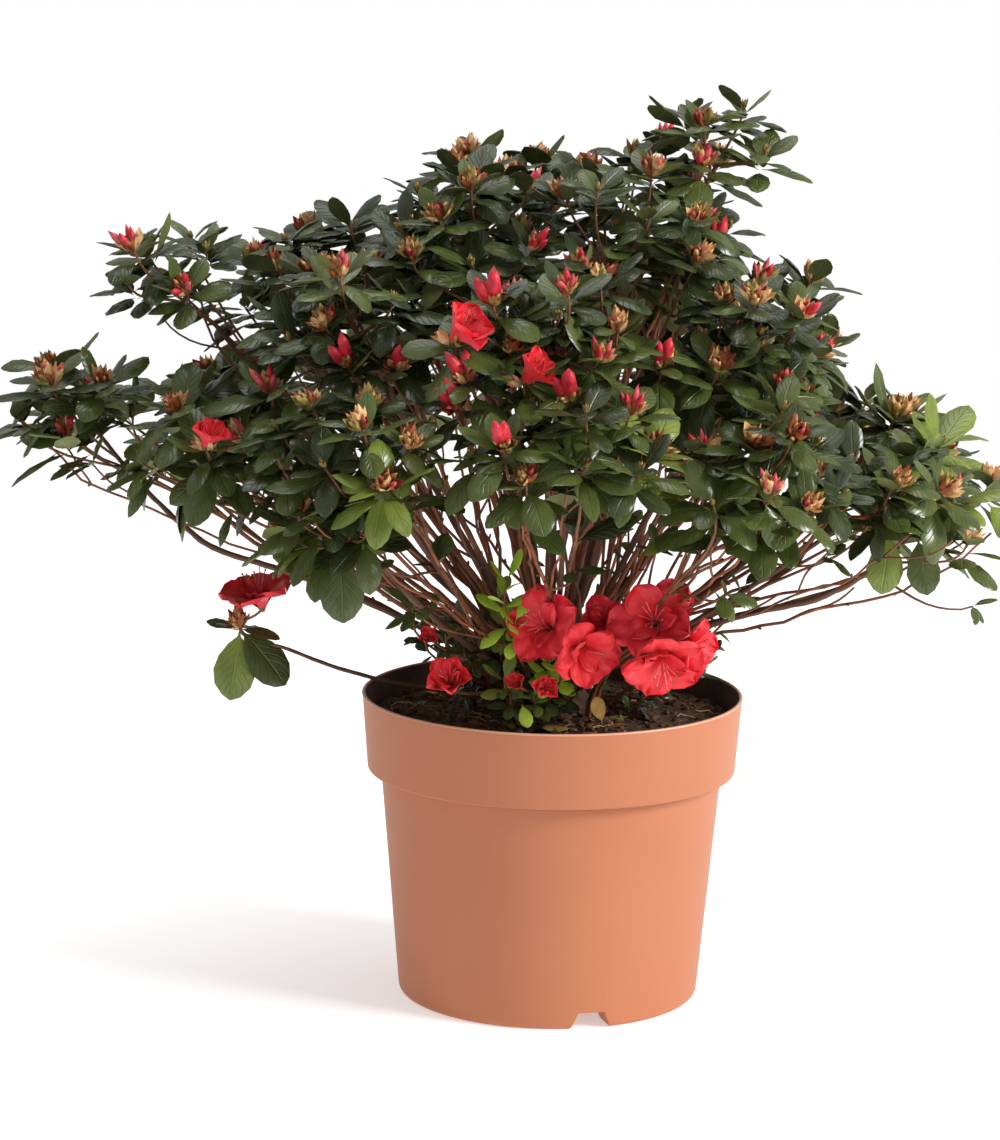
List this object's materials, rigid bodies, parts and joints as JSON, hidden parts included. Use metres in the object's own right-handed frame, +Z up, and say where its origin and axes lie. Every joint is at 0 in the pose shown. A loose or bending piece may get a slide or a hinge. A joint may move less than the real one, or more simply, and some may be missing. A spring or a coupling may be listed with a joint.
{
  "type": "potted azalea shrub",
  "caption": "Low spreading azalea shrub with boughs fanning out from a short trunk, leaf masses in a flat dome and a few open blooms, in a round tapered nursery pot.",
  "frame": {"origin": "centre of the pot's flat underside", "axes": "+Z up the pot's axis, -Y to the front, +X to the right as seen from the front"},
  "size_m": [0.5563, 0.4296, 0.494],
  "materials": {
    "pot": "satin moulded terracotta-coloured plastic",
    "soil": "dark moist peat compost with bits of bark and dry leaf",
    "bark": "reddish brown, finely flaking bark",
    "foliage": "leathery dark green leaves with a soft sheen",
    "blossom": "thin crimson petals, velvety"
  },
  "bodies": {
    "root": {"pot": "pot", "soil": "soil", "trunk": "bark", "bough_crest_1": "bark", "bough_crest_2": "bark", "bough_crest_3": "bark", "bough_crest_4": "bark", "bough_shoulder_1": "bark", "bough_shoulder_2": "bark", "bough_shoulder_3": "bark", "bough_shoulder_4": "bark", "bough_shoulder_5": "bark", "bough_shoulder_6": "bark", "bough_shoulder_7": "bark", "bough_skirt_1": "bark", "bough_skirt_2": "bark", "bough_skirt_3": "bark", "bough_skirt_4": "bark", "bough_skirt_5": "bark", "bough_skirt_6": "bark", "bough_skirt_7": "bark", "bough_skirt_8": "bark", "bough_skirt_9": "bark", "bough_skirt_10": "bark", "stem_top_right": "bark", "bough_upper_left": "bark", "bough_arch_inner": "bark", "bough_arch_outer": "bark", "bough_low_right_inner": "bark", "bough_low_right_outer": "bark", "bough_low_left": "bark", "runner": "bark", "foliage_crest_1": "foliage", "foliage_crest_2": "foliage", "foliage_crest_3": "foliage", "foliage_crest_4": "foliage", "foliage_shoulder_1": "foliage", "foliage_shoulder_2": "foliage", "foliage_shoulder_3": "foliage", "foliage_shoulder_4": "foliage", "foliage_shoulder_5": "foliage", "foliage_shoulder_6": "foliage", "foliage_shoulder_7": "foliage", "foliage_skirt_1": "foliage", "foliage_skirt_2": "foliage", "foliage_skirt_3": "foliage", "foliage_skirt_4": "foliage", "foliage_skirt_5": "foliage", "foliage_skirt_6": "foliage", "foliage_skirt_7": "foliage", "foliage_skirt_8": "foliage", "foliage_skirt_9": "foliage", "foliage_skirt_10": "foliage", "foliage_top_right": "foliage", "foliage_upper_left": "foliage", "foliage_far_left": "foliage", "foliage_far_right": "foliage", "foliage_low_left": "foliage", "foliage_runner_tip": "foliage", "foliage_base": "blossom"}
  },
  "joints": []
}
